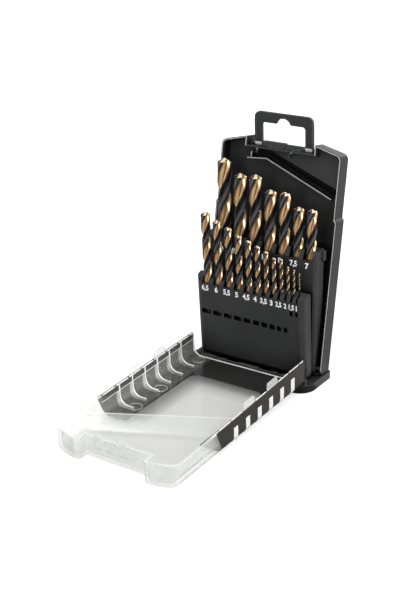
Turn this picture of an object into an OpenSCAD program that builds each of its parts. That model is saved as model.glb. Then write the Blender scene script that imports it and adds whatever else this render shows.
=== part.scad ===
// Drill bit case, open: leaning tray on a foot, clear lid laid down in front,
// two tiers of twist bits and a swing-up hanger. All sizes in millimetres, +Z up.

/* [Tray] */
// outer width of the tray above the step
tray_w = 91.4; // [80:0.1:110]
// outer width of the tray below the step
tray_low_w = 94; // [82:0.1:114]
// tray depth from its back face to its rim
tray_d = 10.9; // [8:0.1:16]
// tray height along its back, at the outer corners
tray_h = 154; // [130:0.5:180]
// extra height of the two shoulders beside the hanger
shoulder_rise = 4.2; // [2:0.1:8]
// height of the step in the side walls
step_h = 110.5; // [90:0.5:130]
// angle the tray leans back
tray_lean = 6.9; // [0:0.1:12]
// wall thickness of the tray
tray_wall = 1.6; // [1.2:0.1:2.4]
// half width of the recess at the top
recess_half = 25.8; // [20:0.1:32]
// level of the recess floor along the tray
recess_level = 152.2; // [140:0.1:156]

/* [Foot] */
// foot width
foot_w = 96.8; // [90:0.1:110]
// foot thickness above its sole
foot_t = 4.4; // [3:0.1:6]
// thickness of the sole; all other heights start at its top
sole_t = 1; // [0.5:0.1:2]
// front edge of the foot
foot_front = -34; // [-45:0.5:-30]
// back edge of the foot
foot_back = 2; // [0:0.5:5]
// radius of the two front corners
foot_corner = 12; // [4:1:16]

/* [Lid] */
// half width of the lid
lid_half = 45; // [40:0.1:52]
// depth of the lid at the hinge end, from rim to outer face
lid_depth = 18.5; // [14:0.1:24]
// depth of the lid at the far end
lid_far_depth = 14.7; // [10:0.1:20]
// length from the hinge axis to the outer corners
lid_len = 152.5; // [130:0.5:170]
// extra length of the lid's shoulders
lid_shoulder = 4.5; // [0:0.1:8]
// wall thickness of the lid
lid_wall = 1.6; // [1.2:0.1:2.4]
// radius along the lower side edges, inside
lid_round = 8; // [3:0.5:10]
// radius along the lower side edges, outside
lid_edge = 5; // [2:0.5:8]
// half width of the finger recess in the far end
lid_recess_half = 24; // [15:0.1:30]
// distance of the finger recess from the hinge axis
lid_recess_y = 149.2; // [130:0.1:160]
// top of the pane across the lid, above the hinge axis
pane_top = 12.4; // [8:0.1:14]
// distance of the pane from the hinge axis at its far corner
pane_y = -122.4; // [-135:0.1:-110]
// slope of the pane across the lid
pane_slope = 0.476; // [0:0.002:0.6]
// tilt of the open lid's rim, far end down
lid_tilt = 3.5; // [0:0.1:8]
// height of the hinge axis above the sole
hinge_z = 6.3; // [5:0.1:12]
// hinge axis, front to back
hinge_y = -27.5; // [-35:0.1:-20]

/* [Grips] */
// how far a grip wraps under the lid, measured from the side
grip_in = 16.5; // [8:0.5:22]
// length of a grip from the hinge axis
grip_len = 110.5; // [80:0.5:120]
// length of the band that joins the grips
chin_len = 27; // [15:0.5:40]
// thickness of the grips
grip_t = 0.8; // [0.5:0.1:1.2]
// number of ribs that show through each grip
rib_n = 6; // [3:1:9]
// width of such a rib
rib_w = 4.7; // [2:0.1:6]

/* [Holders] */
// half width of both holders
holder_half = 42.6; // [38:0.1:46]
// forward lean of the rear holder
rear_lean = 1.6; // [0:0.1:6]
// thickness of the rear holder
rear_t = 12.8; // [11:0.1:15]
// top of the rear holder above the sole
rear_top = 94; // [70:0.5:110]
// forward lean of the front holder
front_lean = 5.4; // [0:0.1:10]
// thickness of the front holder
front_t = 9.4; // [8:0.1:12]
// top of the front holder above the sole
front_top = 67.5; // [50:0.5:80]
// radius of the front holder's two upright front edges
holder_round = 5.5; // [1:0.1:6]
// wall between neighbouring pockets
pocket_gap = 2.74; // [1.5:0.02:4]
// radial play of a bit in its pocket
pocket_play = 0.2; // [0.1:0.05:0.4]

/* [Hanger] */
// half width of the hanger
hang_half = 22.2; // [18:0.1:28]
// height of the hanger above its axis
hang_h = 22.2; // [16:0.1:30]
// thickness of the hanger
hang_t = 2; // [1.4:0.1:3]
// forward lean of the raised hanger from the tray
hang_lean = 11; // [0:0.5:20]

/* [Part] */
// which sub-part to draw

/* [Hidden] */
$fn = 48;
e = 0.01;
// the frame's origin lies under the middle of the foot
y_shift = 16;

// pivots of the holders, front to back and height
rear_py = -8;
rear_pz = 8.5;
front_py = -20.8;
front_pz = 12.3;
// front faces of the holders, behind their pivots' planes
rear_u = -6.2;
front_u = -5.4;
rear_axis_u = rear_u + rear_t / 2;
front_axis_u = front_u + front_t / 2;
rear_bot = 6.6;
front_bot = 7.2;
pin_r = 1.5;
pin_play = 0.06;

// rim of the lid above the hinge axis: it meets the tray's rim when shut
lid_rim = -(hinge_y * cos(tray_lean) - hinge_z * sin(tray_lean)) - tray_d - 0.15;
lid_y0 = -2.8;
lid_slope = atan((lid_depth - lid_far_depth) / (lid_len + lid_y0));

// bit data: diameter, overall length, flute length, height of the pocket floor
rear_bits = [[10, 133, 87, 13.4], [9.5, 125, 81, 12.6], [9, 125, 81, 13.4], [8.5, 117, 75, 12.8],
  [8, 117, 75, 12.8], [7.5, 109, 69, 12.4], [7, 109, 69, 12.4]];
front_bits = [[6.5, 101, 63, 12.4], [6, 93, 57, 16], [5.5, 93, 57, 12.4], [5, 86, 52, 15.2],
  [4.5, 80, 47, 18.9], [4, 75, 43, 21.3], [3.5, 70, 39, 23.7], [3, 61, 33, 29.2], [2.5, 57, 30, 33.4],
  [2, 49, 24, 36.9], [1.5, 40, 18, 44.6], [1, 34, 12, 48.6]];
rear_x0 = -31.5;
front_x0 = -34.4;
// the lid's two snap hooks, side to side
hooks = [[-16.1, -10.3], [2.2, 8.2]];
function step_to(list, i) = i == 0 ? 0 : step_to(list, i - 1) + (list[i - 1][0] + list[i][0]) / 2 + pocket_gap;
function rear_x(i) = rear_x0 + step_to(rear_bits, i);
function front_x(i) = front_x0 + step_to(front_bits, i);

module in_tray() rotate([-tray_lean, 0, 0]) children();
module in_rear() translate([0, rear_py, rear_pz]) rotate([rear_lean, 0, 0]) children();
module in_front() translate([0, front_py, front_pz]) rotate([front_lean, 0, 0]) children();
module in_lid() translate([0, hinge_y, hinge_z]) rotate([lid_tilt, 0, 0]) children();
module along_x(len) rotate([90, 0, 90]) translate([0, 0, -len / 2]) linear_extrude(len) children();
module rod_x(r, x0, x1) translate([x0, 0, 0]) rotate([0, 90, 0]) cylinder(r = r, h = x1 - x0);

// ---------- tray ----------
module tray_outline(o) {
  a = tray_low_w / 2 - o;
  b = tray_w / 2 - o;
  h = tray_h - o;
  m = tray_h + shoulder_rise - o;
  c = 3 - o * 0.6;
  polygon([[-a, o], [a, o], [a, step_h - o], [b, step_h + 1.3 - o], [b, h - c], [b - c * 0.35, h - c * 0.3], [b - c, h + 0.3],
    [recess_half + o, m], [recess_half + o, recess_level - o], [-recess_half - o, recess_level - o],
    [-recess_half - o, m], [-b + c, h + 0.3], [-b + c * 0.35, h - c * 0.3], [-b, h - c], [-b, step_h + 1.3 - o], [-a, step_h - o]]);
}
module tray_slab(o, y0, y1) translate([0, y1, 0]) rotate([90, 0, 0]) linear_extrude(y1 - y0) tray_outline(o);
// the sloping stop above the tips, and its short upright
module tip_stop() {
  t = 1.2;
  y0 = -8.6;
  y1 = -tray_wall + e;
  translate([0, y1, 0]) rotate([90, 0, 0]) linear_extrude(y1 - y0) union() {
    polygon([[-26.1, 143.6], [-10.6, 144.8], [40.6, 124.4], [40.2, 124.4 - t], [-10.9, 144.8 - t], [-26.1, 143.6 - t]]);
    translate([-23.4, 143.4]) square([1.1, 4.4]);
  }
  // behind its open end it reaches the side wall
  translate([0, y1, 0]) rotate([90, 0, 0]) linear_extrude(4.6) polygon([[38, 125.4], [45, 122.6], [45, 122.6 - t], [38, 125.4 - t]]);
  // the root of the stop is filled out
  for (k = [0:2]) translate([0, y1, 0]) rotate([90, 0, 0]) linear_extrude(2.2 - k * 0.7)
    polygon([[-10.6, 144.3], [44.6, 122.3], [44.6, 123.7 + k * 0.4], [-10.6, 145.7 + k * 0.4]]);
}
// the back wall stands forward above the stop; d is the distance inward
module forward_panel(d) polygon([[-10.6 + d, 150.9], [-6 + d * 1.4, 148.65 + d * 0.9], [44.6 - d, 129.8 + d * 0.8], [44.6 - d, 150.5], [43 - d, 152.4 - d], [27, 156.4 - d], [27, 150.9]]);
module back_shell() {
  color("#202022") difference() {
    in_tray() difference() {
      union() {
        difference() {
          tray_slab(0, -tray_d, 0);
          tray_slab(tray_wall, -tray_d - 1, -tray_wall);
          // thin lip all round the rim
          tray_slab(tray_wall - 0.5, -tray_d - 1, -tray_d + 1.2);
        }
        tip_stop();
        intersection() {
          translate([0, -tray_wall + e, 0]) rotate([90, 0, 0]) linear_extrude(4.4) forward_panel(0);
          tray_slab(tray_wall - 0.2, -20, 20);
        }
        // two small catches that hang under the recess
        for (x = [-17.2, 7.4]) {
          translate([x - 0.5, -10.7, recess_level - 4.6]) cube([1, 1.3, 3.4]);
          translate([x - 1.7, -10.7, recess_level - 4.6]) cube([2.2, 1.3, 0.9]);
        }
        // walls beside the hanger's barrels
        for (s = [-1, 1]) translate([s * 24.3 - 1, -7.6, recess_level - e]) cube([2, 5.4, 3]);
        // ridges across the back wall behind the holder
        for (s = [-1, 1]) translate([s * 30 - 0.8, -2.1, 30]) cube([1.6, 0.7, 74]);
      }
      // the forward part of the back wall is hollow behind
      intersection() {
        translate([0, 1, 0]) rotate([90, 0, 0]) linear_extrude(5.4) forward_panel(1.6);
        translate([-4, -10, 100]) cube([60, 20, recess_level - 100 - 3.4]);
      }
      // the hanger's axle
      translate([0, -4.9, recess_level + 1.6]) rod_x(0.85, -25.4, 25.4);
      // hollow that takes the hanger's barrels
      translate([-22.6, -7.6, recess_level - 0.6]) cube([45.2, 5.4, 1]);
      // two windows for the lid's snap hooks
      for (h = hooks) translate([h[0] - 0.4, -9.3, recess_level - 2]) cube([h[1] - h[0] + 0.8, 1.6, 3]);
    }
    // cut level above the foot
    translate([-60, -30, -10]) cube([120, 60, 15.2]);
    // sockets of the rear pivot pins
    for (s = [-1, 1]) translate([0, rear_py, rear_pz]) rod_x(pin_r + 0.01, s > 0 ? 44 : -46.1, s > 0 ? 46.1 : -44);
  }
}

// ---------- foot ----------
module foot_outline() {
  w = foot_w / 2;
  r = foot_corner;
  union() {
    translate([-w, foot_front + r]) square([2 * w, foot_back - foot_front - r - 2]);
    translate([-w + 2, foot_front + r]) square([2 * w - 4, foot_back - foot_front - r]);
    translate([-w + r, foot_front]) square([2 * w - 2 * r, r + 1]);
    for (s = [-1, 1]) {
      translate([s * (w - r), foot_front + r]) circle(r);
      translate([s * (w - 2), foot_back - 2]) circle(2);
    }
  }
}
module foot_plate() {
  color("#1d1d1f") difference() {
    union() {
      translate([0, 0, -sole_t]) linear_extrude(foot_t + sole_t) foot_outline();
      // raised bed that carries the tray
      translate([-44.4, -9.2, foot_t - e]) cube([88.8, 9.4, 5.2 - foot_t]);
      // ears of the front pivot
      for (s = [-1, 1]) {
        translate([s * 40 - 0.95, front_py - 1.9, foot_t - e]) cube([1.9, 3.8, front_pz - foot_t]);
        translate([0, front_py, front_pz]) rod_x(2.6, s * 40 - 0.95, s * 40 + 0.95);
      }
      // hinge ears
      for (x = [-42.4, -20.2, 20.2, 42.4]) {
        translate([0, hinge_y, hinge_z]) rod_x(1.7, x - 2.2, x + 2.2);
        translate([x - 2.2, hinge_y - 1.7, foot_t - 1]) cube([4.4, 3.4, hinge_z - foot_t + 1]);
      }
    }
    // bores
    translate([0, hinge_y, hinge_z]) rod_x(0.8, -50, 50);
    translate([0, front_py, front_pz]) rod_x(pin_r + 0.01, -50, 50);
    // two shallow hollows under the foot
    for (s = [-1, 1]) translate([s * 24 - 16, foot_front + 7, -sole_t - 1]) cube([32, foot_back - foot_front - 13, 2.2]);
  }
}
module pivot_pins() {
  color("#b9bbbf") for (s = [-1, 1]) {
    translate([0, front_py, front_pz]) rod_x(pin_r, s > 0 ? 38.9 : -42.65, s > 0 ? 42.65 : -38.9);
    translate([0, rear_py, rear_pz]) rod_x(pin_r, s > 0 ? 40.8 : -46, s > 0 ? 46 : -40.8);
  }
}
module hinge_rod() color("#b9bbbf") translate([0, hinge_y, hinge_z]) rod_x(0.78, -44.4, 44.4);

// ---------- top of the tray ----------
module hanger_rod() color("#b9bbbf") in_tray() translate([0, -4.9, recess_level + 1.6]) rod_x(0.8, -25.2, 25.2);
module catch_plate() {
  color("#242426") in_tray() {
    difference() {
      union() {
        // bars in front, with gaps for the lid's snap hooks
        for (h = [[-9.8, 1.7], [8.7, 15.5]]) {
          translate([h[0], -9.9, recess_level + 0.05]) cube([h[1] - h[0], 0.9, 1.5]);
          translate([h[0], -9.1, recess_level + 0.05]) cube([h[1] - h[0], 3, 0.7]);
        }
        translate([-15.5, -7.2, recess_level + 0.05]) cube([31, 3.8, 0.7]);
        // two tongues between the hanger's legs
        translate([-15.3, -7.2, recess_level + 0.05]) cube([17, 3.8, 3.6]);
        translate([2.3, -6.8, recess_level + 0.05]) cube([13, 3.4, 3]);
      }
      translate([0, -4.9, recess_level + 1.6]) rod_x(0.85, -30, 30);
    }
  }
}
module hanger() {
  color("#242426") in_tray() translate([0, -4.9, recess_level + 1.6]) rotate([hang_lean, 0, 0]) difference() {
    union() {
      difference() {
        translate([0, hang_t / 2, 0]) rotate([90, 0, 0]) linear_extrude(hang_t) difference() {
          union() {
            translate([-hang_half, 0]) square([2 * hang_half, hang_h - 4]);
            translate([-hang_half + 4, 0]) square([2 * hang_half - 8, hang_h]);
            for (s = [-1, 1]) translate([s * (hang_half - 4), hang_h - 4]) circle(4);
          }
          // euro slot
          translate([-16.4, -1]) square([32.8, 14]);
          translate([-14.4, -1]) square([28.8, 16]);
          for (s = [-1, 1]) translate([s * 14.4, 13]) circle(2);
          translate([0, 13.4]) circle(5.6);
        }
      }
      // barrels
      for (s = [-1, 1]) rod_x(1.5, s > 0 ? 16.4 : -22.2, s > 0 ? 22.2 : -16.4);
      // thickened edge
      translate([-hang_half, -hang_t / 2 - 0.3, 3]) cube([1.2, hang_t + 0.6, hang_h - 8]);
      translate([hang_half - 1.2, -hang_t / 2 - 0.3, 3]) cube([1.2, hang_t + 0.6, hang_h - 8]);
    }
    rod_x(0.8 + pin_play, -30, 30);
  }
}

// ---------- lid ----------
// outline seen square to the rim: o is the distance inward
module lid_outline(o, open) {
  w = lid_half - o;
  f = lid_len - o;
  g = lid_len + lid_shoulder - o;
  k = lid_recess_half + o;
  y0 = open ? 5 : lid_y0;
  polygon([[-w, y0], [-w, -f + 4], [-w + 1.2, -f + 1.2], [-w + 4, -f - 0.3], [-k - 2, -g], [-k, -g + 2], [-k, -lid_recess_y + o],
    [k, -lid_recess_y + o], [k, -g + 2], [k + 2, -g], [w - 4, -f - 0.3], [w - 1.2, -f + 1.2], [w, -f + 4], [w, y0]]);
}
// section across the lid, floor at zero
module lid_section(o) {
  w = lid_half - o;
  c = o < 1.2 ? lid_edge : lid_round;
  union() {
    translate([-w, c]) square([2 * w, 30]);
    translate([-lid_half + c, o]) square([2 * (lid_half - c), 30]);
    for (s = [-1, 1]) translate([s * (lid_half - c), c]) circle(c - o);
  }
}
module on_floor() translate([0, lid_y0, lid_rim - lid_depth]) rotate([-lid_slope, 0, 0]) children();
module lid_block(o, open = false) intersection() {
  translate([0, 0, -8]) linear_extrude(lid_rim + 8 + (o > 0 ? 2 : 0)) lid_outline(o, open);
  on_floor() translate([0, open ? 12 : 1, 0]) rotate([90, 0, 0]) linear_extrude(190) lid_section(o);
  // rounded lower edge of the far end
  on_floor() along_x(120) polygon([[20, o], [-lid_len - lid_y0 - 3 + o * 0.5, o], [-lid_len - lid_y0 - 4.2 + o * 0.7, o + 0.8],
    [-lid_len - lid_y0 - 5.2 + o, o + 2.8], [-lid_len - lid_y0 - 5.2 + o, 40], [20, 40]]);
}
// where the grips and the band lie, seen square to the floor
module grip_area(d) {
  for (s = [-1, 1]) scale([s, 1]) polygon([[lid_half - grip_in - d, lid_y0 + 1], [60, lid_y0 + 1], [60, -grip_len - 8], [lid_half - grip_in - d, -grip_len - 8]]);
  translate([-lid_half + grip_in - 1, -chin_len - d]) square([2 * (lid_half - grip_in) + 2, chin_len + lid_y0 + 1 + d]);
  for (s = [-1, 1]) scale([s, 1]) polygon([[lid_half - grip_in + 1, -chin_len - 5 - d], [lid_half - grip_in - 5 - d, -chin_len + 0.5], [lid_half - grip_in + 1, -chin_len + 0.5]]);
}
function rib_y(i) = -19.1 - i * 14.1;
module rib_slots(d) for (i = [0:rib_n - 1]) for (s = [-1, 1])
  translate([s > 0 ? lid_half - 12.2 - d : -60, rib_y(i) - rib_w / 2 - d, -10]) cube([60 - lid_half + 12.2 + d, rib_w + 2 * d, lid_rim - 5.2 + 10 + d]);
module grip_zone(d) difference() {
  on_floor() translate([0, -lid_y0, -12]) linear_extrude(lid_rim + 30) grip_area(d);
  translate([-80, -200, lid_rim - 0.05 + d]) cube([160, 300, 30]);
  // the far end of the grips leans back towards the hinge
  along_x(160) polygon([[-grip_len - 0.2 - d, lid_rim + 30], [-grip_len - 0.2 - d, lid_rim - 0.5], [-grip_len + 5.7 - d, lid_rim - 14.5], [-grip_len + 6.4 - d, -20], [-200, -20], [-200, lid_rim + 30]]);
}
module lid_shell() {
  color([0.86, 0.88, 0.87, 0.5]) in_lid() union() {
    difference() {
      lid_block(0);
      lid_block(lid_wall, true);
      // bed of the grips
      difference() {
        grip_zone(0.05);
        lid_block(grip_t, true);
        rib_slots(-0.05);
      }
    }
    // pane across the lid, past the tips of the front bits
    intersection() {
      lid_block(lid_wall - 0.2);
      translate([-60, -200, -20]) cube([120, 260, pane_top + 20]);
      translate([-43.4, pane_y, 0]) rotate([0, 0, atan(pane_slope)]) rotate([90, 0, 90]) translate([0, 0, -20]) linear_extrude(140)
        polygon([[-10, -3], [-8.6, -3], [0.6, pane_top + 0.1], [-0.7, pane_top + 0.1]]);
    }
    // locating tabs above the rim
    for (s = [-1, 1]) for (y = [-49.9, -78]) translate([s > 0 ? lid_half - lid_wall + 0.05 : -lid_half + 0.8, 0, 0])
      rotate([90, 0, 90]) linear_extrude(0.75) polygon([[y, lid_rim - 2], [y, lid_rim + 4.1], [y + 0.9, lid_rim + 4.9], [y + 11, lid_rim + 4.9], [y + 12, lid_rim + 4], [y + 12.8, lid_rim], [y + 12.8, lid_rim - 2]]);
    // snap hooks in the finger recess
    for (h = hooks) translate([h[0], 0, 0]) rotate([90, 0, 90]) linear_extrude(h[1] - h[0])
      polygon([[-lid_recess_y - 0.2, 9.9], [-lid_recess_y - 1.6, 9.9], [-lid_recess_y - 1.6, lid_rim + 3.2], [-lid_recess_y - 0.4, lid_rim + 3.2], [-lid_recess_y - 0.4, lid_rim - 1], [-lid_recess_y + 0.6, lid_rim - 1], [-lid_recess_y + 0.6, 9.9]]);
    // press pad between the hooks
    difference() {
      translate([-8, -lid_recess_y - 1.1, 9.9]) cube([7.6, 1.4, 5.9]);
      translate([-6.6, -lid_recess_y - 3.1, 11.2]) cube([4.4, 2.5, 3.2]);
    }
  }
}
module lid_grip() {
  color("#2a2826") in_lid() difference() {
    union() {
      difference() {
        intersection() {
          lid_block(0);
          grip_zone(0);
        }
        lid_block(grip_t - 0.05, true);
        rib_slots(0);
      }
      // knuckles
      for (x = [-31.4, 0, 31.4]) {
        rod_x(1.6, x - (x == 0 ? 8 : 5), x + (x == 0 ? 8 : 5));
        translate([x - (x == 0 ? 8 : 5), lid_y0 - 0.6, lid_rim - lid_depth + 0.02]) cube([x == 0 ? 16 : 10, 0.6 - lid_y0, 0.72]);
      }
    }
    rod_x(0.78 + pin_play, -60, 60);
  }
}

// ---------- holders ----------
module holder_block(half, u, t, w0, w1) translate([0, u + t, 0]) rotate([90, 0, 0]) translate([-half, w0]) linear_extrude(t) square([2 * half, w1 - w0]);
module rear_holder() {
  top = rear_top - rear_pz;
  bot = rear_bot - rear_pz;
  color("#1b1b1d") in_rear() difference() {
    union() {
      difference() {
        translate([-holder_half, 0, 0]) rotate([90, 0, 90]) linear_extrude(2 * holder_half)
          polygon([[rear_u + 2.4, bot], [rear_u, bot + 3], [rear_u, top - 1.5], [rear_u + 1.2, top - 0.3], [rear_u + rear_t - 1.5, top], [rear_u + rear_t, top - 1.5], [rear_u + rear_t, bot + 2], [rear_u + rear_t - 2, bot]]);
        // softened upright edges
        for (s = [-1, 1]) for (v = [rear_u, rear_u + rear_t]) translate([s * holder_half, v, -20]) rotate([0, 0, 45]) translate([-1.1, -1.1, 0]) cube([2.2, 2.2, 150]);
        // the front of the top slopes back along the pockets
        translate([-37.8, 0, 0]) rotate([90, 0, 90]) linear_extrude(37.8 + 40.6) polygon([[rear_u - 1, top - 5.4], [rear_u, top - 5.4], [rear_u + 2.8, top - 0.4], [rear_u + 2.8, top + 3], [rear_u - 1, top + 3]]);
      }
      // lugs at the top of both ends
      for (s = [-1, 1]) translate([s > 0 ? holder_half - 0.5 : -holder_half - 1.2, rear_u + rear_t - 4.6, top - 8]) cube([1.7, 4.2, 6.6]);
    }
    // pockets, open to the front at the top
    for (i = [0:len(rear_bits) - 1]) translate([rear_x(i), rear_axis_u, 0]) {
      r = rear_bits[i][0] / 2 + pocket_play;
      translate([0, 0, rear_bits[i][3] - rear_pz - 0.03]) cylinder(r = r, h = 120);
      translate([-r + 0.4, rear_u - rear_axis_u - 1, top - 6.4]) cube([2 * r - 0.8, 1 + rear_axis_u - rear_u, 20]);
    }
    // bores for the pivot pins
    for (s = [-1, 1]) rod_x(pin_r + pin_play, s > 0 ? 40.4 : -50, s > 0 ? 50 : -40.4);
    // cored underside
    translate([-39.4, rear_u + 1.6, bot - 1]) cube([78.8, rear_t - 3.2, 3.6]);
  }
}
module front_holder() {
  top = front_top - front_pz;
  bot = front_bot - front_pz;
  color("#1b1b1d") in_front() difference() {
    intersection() {
      translate([-holder_half, 0, 0]) rotate([90, 0, 90]) linear_extrude(2 * holder_half)
        polygon([[front_u + 3.2, bot], [front_u + 0.9, bot + 1.6], [front_u, bot + 3.8], [front_u, top - 2.6], [front_u + 1, top - 1.6], [front_u + front_t - 1.2, top], [front_u + front_t, top - 1.2], [front_u + front_t, bot + 1.5], [front_u + front_t - 1.5, bot]]);
      // rounded upright edges in front
      translate([0, front_u, -20]) linear_extrude(150) union() {
        translate([-holder_half, holder_round]) square([2 * holder_half, 30]);
        translate([-holder_half + holder_round, 0]) square([2 * (holder_half - holder_round), 30]);
        for (s = [-1, 1]) translate([s * (holder_half - holder_round), holder_round]) circle(holder_round);
      }
    }
    // the front of the top slopes back along the pockets
    translate([-39.2, 0, 0]) rotate([90, 0, 90]) linear_extrude(39.2 + 38.6) polygon([[front_u - 1, top - 4.3], [front_u, top - 4.3], [front_u + 2.4, top - 0.4], [front_u + 2.4, top + 3], [front_u - 1, top + 3]]);
    for (i = [0:len(front_bits) - 1]) translate([front_x(i), front_axis_u, 0]) {
      r = front_bits[i][0] / 2 + pocket_play;
      w = min(r, 2.9);
      translate([0, 0, front_bits[i][3] - front_pz - 0.03]) cylinder(r = r, h = 120);
      translate([-w * 0.9, front_u - front_axis_u - 1, top - 5]) cube([2 * w * 0.9, 1 + front_axis_u - front_u, 20]);
      // window in the front wall
      h = front_bits[i][0] / 2 + 0.45;
      translate([-h, front_u - front_axis_u - 1, (i > 9 ? 52.9 : 39.6) - front_pz]) cube([2 * h, 1 + front_axis_u - front_u, 3.5]);
    }
    // room for the foot's ears, and the pins' bores
    for (s = [-1, 1]) translate([s * 40 - 1.35, front_u + 0.9, bot - 1]) cube([2.7, front_t - 1.8, 5.1 + 4 + 1]);
    for (s = [-1, 1]) rod_x(pin_r + pin_play, s > 0 ? 38.2 : -50, s > 0 ? 50 : -38.2);
  }
}

// ---------- bits ----------
module flute_section(d) {
  r = d / 2;
  // two lands with two flutes between them
  polygon([for (k = [0:1]) for (p = [[1, 0], [1, 26], [0.72, 50], [0.34, 90], [0.55, 126], [1, 152]]) [r * p[0] * cos(p[1] + 180 * k), r * p[0] * sin(p[1] + 180 * k)]]);
}
module twist_bit(spec, turn) {
  d = spec[0];
  tip = d * 0.21;
  fl = spec[2] - tip;
  body = spec[1] - spec[2];
  tw = 360 * fl / (d * 5.6);
  n = max(8, ceil(tw / (d > 5 ? 24 : 36)));
  color("#3a3128") rotate([0, 0, turn]) union() {
    // shank with a small chamfer at its foot
    translate([0, 0, d * 0.06]) cylinder(r = d / 2, h = body - d * 0.06 + 0.6);
    cylinder(r1 = d * 0.44, r2 = d / 2, h = d * 0.06 + e);
    translate([0, 0, body + 0.3]) linear_extrude(height = fl - 0.3, twist = -tw, slices = n, $fn = 14) rotate(-tw) flute_section(d * 0.985);
    translate([0, 0, body + fl - e]) linear_extrude(height = tip, scale = 0.12, $fn = 14) flute_section(d * 0.985);
  }
}
module rear_bit(i) in_rear() translate([rear_x(i), rear_axis_u, rear_bits[i][3] - rear_pz]) twist_bit(rear_bits[i], 40 + 37 * i);
module front_bit(i) in_front() translate([front_x(i), front_axis_u, front_bits[i][3] - front_pz]) twist_bit(front_bits[i], 15 + 49 * i);

module at_frame() translate([0, y_shift, sole_t]) children();
at_frame() back_shell();
at_frame() foot_plate();
at_frame() pivot_pins();
at_frame() hinge_rod();
at_frame() hanger();
at_frame() hanger_rod();
at_frame() catch_plate();
at_frame() lid_shell();
at_frame() lid_grip();
at_frame() rear_holder();
at_frame() front_holder();
at_frame() front_bit(11);  // bit_010
at_frame() front_bit(10);  // bit_015
at_frame() front_bit(9);  // bit_020
at_frame() front_bit(8);  // bit_025
at_frame() front_bit(7);  // bit_030
at_frame() front_bit(6);  // bit_035
at_frame() front_bit(5);  // bit_040
at_frame() front_bit(4);  // bit_045
at_frame() front_bit(3);  // bit_050
at_frame() front_bit(2);  // bit_055
at_frame() front_bit(1);  // bit_060
at_frame() front_bit(0);  // bit_065
at_frame() rear_bit(6);  // bit_070
at_frame() rear_bit(5);  // bit_075
at_frame() rear_bit(4);  // bit_080
at_frame() rear_bit(3);  // bit_085
at_frame() rear_bit(2);  // bit_090
at_frame() rear_bit(1);  // bit_095
at_frame() rear_bit(0);  // bit_100
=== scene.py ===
import bpy, bmesh, math
from mathutils import Vector, Matrix, noise


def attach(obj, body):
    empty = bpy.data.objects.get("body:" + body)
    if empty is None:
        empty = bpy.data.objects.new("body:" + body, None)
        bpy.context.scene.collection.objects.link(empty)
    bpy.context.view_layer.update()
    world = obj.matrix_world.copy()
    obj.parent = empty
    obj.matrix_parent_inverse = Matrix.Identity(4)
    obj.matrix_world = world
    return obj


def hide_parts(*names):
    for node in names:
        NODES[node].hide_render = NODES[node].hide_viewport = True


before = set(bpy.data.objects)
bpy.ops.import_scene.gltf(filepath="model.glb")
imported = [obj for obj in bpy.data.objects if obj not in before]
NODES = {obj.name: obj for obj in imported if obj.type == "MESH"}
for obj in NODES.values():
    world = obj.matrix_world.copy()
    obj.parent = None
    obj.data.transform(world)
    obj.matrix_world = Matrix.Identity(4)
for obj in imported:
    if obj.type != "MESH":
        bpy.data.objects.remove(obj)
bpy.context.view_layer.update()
MM = 0.001
YS, ZS = 16.0, 1.0             # the row frame's y and z are this much more than the part's own


# ------------------------------------------------------------------ frames
def rx(deg):
    return Matrix.Rotation(math.radians(deg), 4, "X")


TRAY = Matrix.Translation((0, YS, ZS)) @ rx(-6.9)
REAR = Matrix.Translation((0, YS - 8, 8.5 + ZS)) @ rx(1.6)
FRONT = Matrix.Translation((0, YS - 20.8, 12.3 + ZS)) @ rx(5.4)
LID_TILT = 3.5
LID = Matrix.Translation((0, YS - 27.5, 6.3 + ZS)) @ rx(LID_TILT)
LID_RIM = 27.5 * math.cos(math.radians(6.9)) + 6.3 * math.sin(math.radians(6.9)) - 10.9 - 0.15
LID_Y0 = -2.8
LID_SLOPE = math.degrees(math.atan((18.5 - 14.7) / (152.5 + LID_Y0)))
FLOOR = LID @ Matrix.Translation((0, LID_Y0, LID_RIM - 18.5)) @ rx(-LID_SLOPE)


# ------------------------------------------------------------------ meshes
def mark_sharp(me, angle=35):
    bm = bmesh.new()
    bm.from_mesh(me)
    lim = math.radians(angle)
    for f in bm.faces:
        f.smooth = True
    for ed in bm.edges:
        if len(ed.link_faces) == 2:
            ed.smooth = ed.calc_face_angle(0) < lim
        else:
            ed.smooth = False
    bm.to_mesh(me)
    bm.free()


def make(name, bm, body, mats, matrix=None, sharp=35, replaces=(), mm=True):
    """A piece from a bmesh drawn in millimetres in its own frame."""
    me = bpy.data.meshes.new(name)
    bmesh.ops.remove_doubles(bm, verts=bm.verts, dist=0.0005)
    bmesh.ops.recalc_face_normals(bm, faces=bm.faces)
    if matrix is not None:
        bm.transform(matrix)
    if mm:
        bm.transform(Matrix.Scale(MM, 4))
    bm.to_mesh(me)
    bm.free()
    for m in mats:
        me.materials.append(m)
    mark_sharp(me, sharp)
    ob = bpy.data.objects.new(name, me)
    bpy.context.scene.collection.objects.link(ob)
    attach(ob, body)
    if replaces:
        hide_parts(*replaces)
    return ob


def box(bm, x0, x1, y0, y1, z0, z1, mat=0):
    v = [bm.verts.new((x, y, z)) for x in (x0, x1) for y in (y0, y1) for z in (z0, z1)]
    q = [(0, 1, 3, 2), (4, 6, 7, 5), (0, 4, 5, 1), (2, 3, 7, 6), (0, 2, 6, 4), (1, 5, 7, 3)]
    fs = [bm.faces.new([v[i] for i in f]) for f in q]
    for f in fs:
        f.material_index = mat
    return v, fs


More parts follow.
